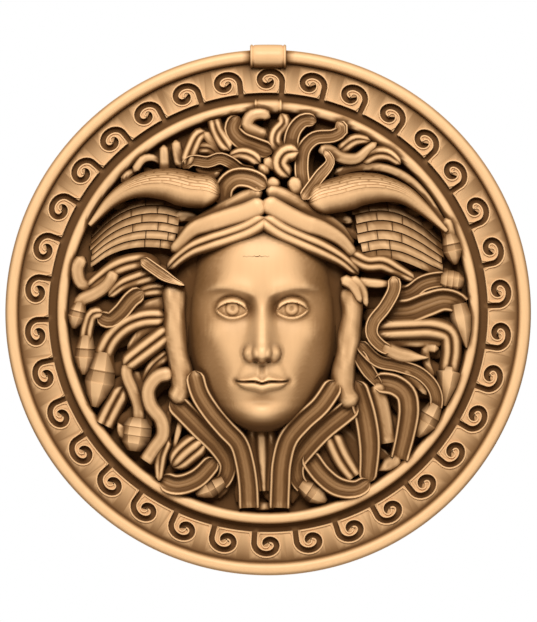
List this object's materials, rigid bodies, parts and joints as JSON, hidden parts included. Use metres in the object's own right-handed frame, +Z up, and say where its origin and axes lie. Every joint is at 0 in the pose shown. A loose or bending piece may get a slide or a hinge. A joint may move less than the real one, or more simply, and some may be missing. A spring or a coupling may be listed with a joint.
{
  "type": "gorgon mask",
  "caption": "Round carved wall plaque: a winged gorgon mask among snakes and curling locks in a deep well, inside a running scroll border between two round mouldings",
  "frame": {"origin": "middle of the flat back, on the wall", "axes": "+Z up, +X to the viewer's right, +Y into the wall; the carving faces -Y"},
  "size_m": [0.4, 0.0696, 0.404],
  "materials": {
    "carved_wood": "fine-grained carved hardwood, oiled and waxed to a soft sheen, with dark stain left in the recesses and rubbed paler on the crests"
  },
  "bodies": {
    "root": {"gorgon_roundel": "carved_wood"}
  },
  "joints": []
}
